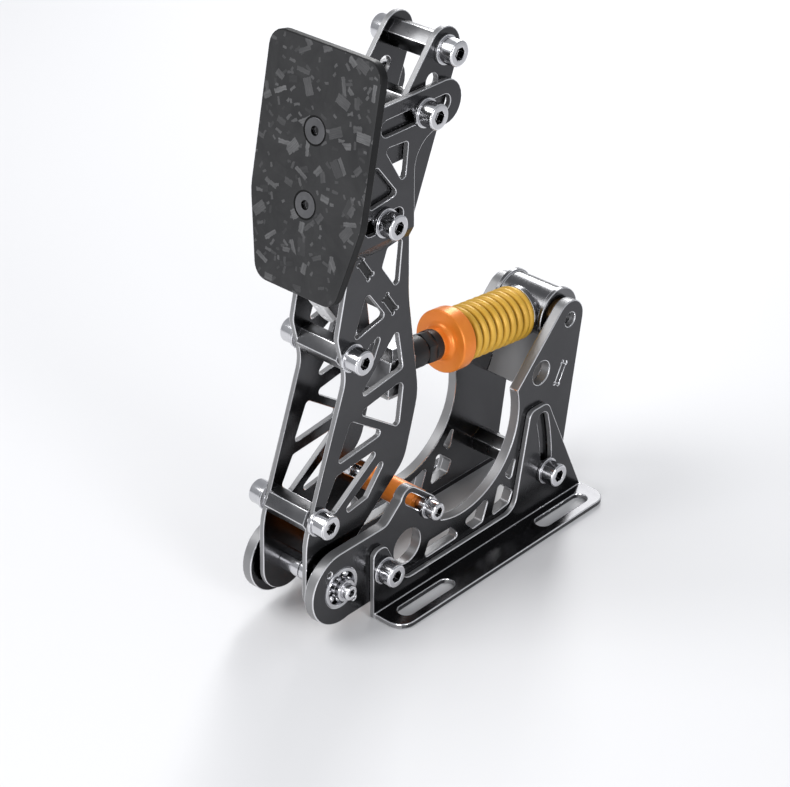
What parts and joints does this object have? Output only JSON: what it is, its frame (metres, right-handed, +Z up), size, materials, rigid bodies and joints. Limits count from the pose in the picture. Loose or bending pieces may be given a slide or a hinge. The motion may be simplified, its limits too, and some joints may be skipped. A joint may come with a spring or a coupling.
{
  "type": "sim racing pedal",
  "caption": "Floor-standing racing pedal with a leaning face on a windowed plate arm, worked against a coil spring in a tilting frame on slotted floor brackets.",
  "frame": {"origin": "centre of the four floor slots, on the floor plane under the brackets", "axes": "+X the way the foot pushes, +Y to the left seen from the foot, +Z up"},
  "size_m": [0.2127, 0.0944, 0.3079],
  "materials": {
    "plate_steel": "polished dark sheet with bright cut edges",
    "bar_steel": "satin dark steel",
    "bright_steel": "bright polished",
    "orange_anodised": "orange anodised, satin",
    "yellow_spring": "golden yellow coating",
    "black_metal": "black, satin",
    "bronze": "plain bearing bronze",
    "carbon_face": "forged carbon chips, satin"
  },
  "bodies": {
    "mount": {"floor_bracket_left": "plate_steel", "floor_bracket_right": "plate_steel"},
    "frame": {"base_plate_left": "plate_steel", "base_plate_right": "plate_steel", "front_cross_bar": "orange_anodised", "rear_cross_bar": "bar_steel", "tower_tie_plate": "plate_steel", "frame_bolts": "bright_steel", "frame_washers": "bright_steel", "bearing_outer_rings": "bright_steel", "bearing_balls": "bright_steel"},
    "stop": {"stop_bar": "orange_anodised", "stop_bolts": "bright_steel", "stop_washers": "bright_steel"},
    "arm": {"arm_plate_left": "plate_steel", "arm_plate_right": "plate_steel", "middle_bar": "bar_steel", "lower_bar": "bar_steel", "arm_tie_plate": "plate_steel", "pivot_shaft": "bright_steel", "pivot_sleeves": "bright_steel", "shaft_spacers": "bright_steel", "shaft_collars": "bright_steel", "bearing_inner_rings": "bright_steel", "arm_bolts": "bright_steel", "arm_washers": "bright_steel", "rod_pin": "bright_steel", "pin_spacers": "bright_steel"},
    "face": {"carrier_left": "plate_steel", "carrier_right": "plate_steel", "carrier_top_bar": "bar_steel", "upper_clamp_bar": "bar_steel", "lower_clamp_bar": "bar_steel", "carrier_bolts": "bright_steel", "carrier_washers": "bright_steel", "face_mount_plate": "plate_steel", "face_plate": "carbon_face", "face_screws": "bright_steel"},
    "rod": {"rod_eye": "bar_steel", "rod_bush": "bronze", "load_cell": "black_metal", "lock_nut": "black_metal", "preload_sleeve": "black_metal", "guide_rod": "bright_steel", "spring_cup": "orange_anodised", "coil_spring": "yellow_spring"},
    "trunnion": {"trunnion": "bar_steel", "rear_spring_seat": "bar_steel", "trunnion_washers": "bronze"}
  },
  "joints": [
    {"name": "frame_tilt", "type": "hinge", "parent": "mount", "child": "frame", "pos_m": [-0.0775, 0, 0.0275], "axis": [0, -1, 0], "range_deg": [0, 15]},
    {"name": "stop_slide", "type": "slide", "parent": "frame", "child": "stop", "axis": [0.766, 0, -0.6428], "range_m": [-0.009, 0]},
    {"name": "arm_pivot", "type": "hinge", "parent": "frame", "child": "arm", "pos_m": [-0.105, 0, 0.029], "axis": [0, 1, 0], "range_deg": [0, 7], "stiffness_Nm_per_rad": 300, "springref_deg": -0.57, "deforming": ["coil_spring"]},
    {"name": "face_slide", "type": "slide", "parent": "arm", "child": "face", "axis": [1, 0, 0], "range_m": [-0.008, 0.006]},
    {"name": "rod_pivot", "type": "hinge", "parent": "arm", "child": "rod", "pos_m": [-0.0461, 0, 0.1239], "axis": [0, 1, 0], "range_deg": [-10.4, 0], "deforming": ["coil_spring"]},
    {"name": "trunnion_pivot", "type": "hinge", "parent": "frame", "child": "trunnion", "pos_m": [0.072, 0, 0.1103], "axis": [0, 1, 0], "range_deg": [-3.4, 0], "deforming": ["coil_spring"]}
  ],
  "couplings": [
    {"joint": "rod_pivot", "follows": "arm_pivot", "ratio": -1.483},
    {"joint": "trunnion_pivot", "follows": "arm_pivot", "ratio": -0.483}
  ]
}
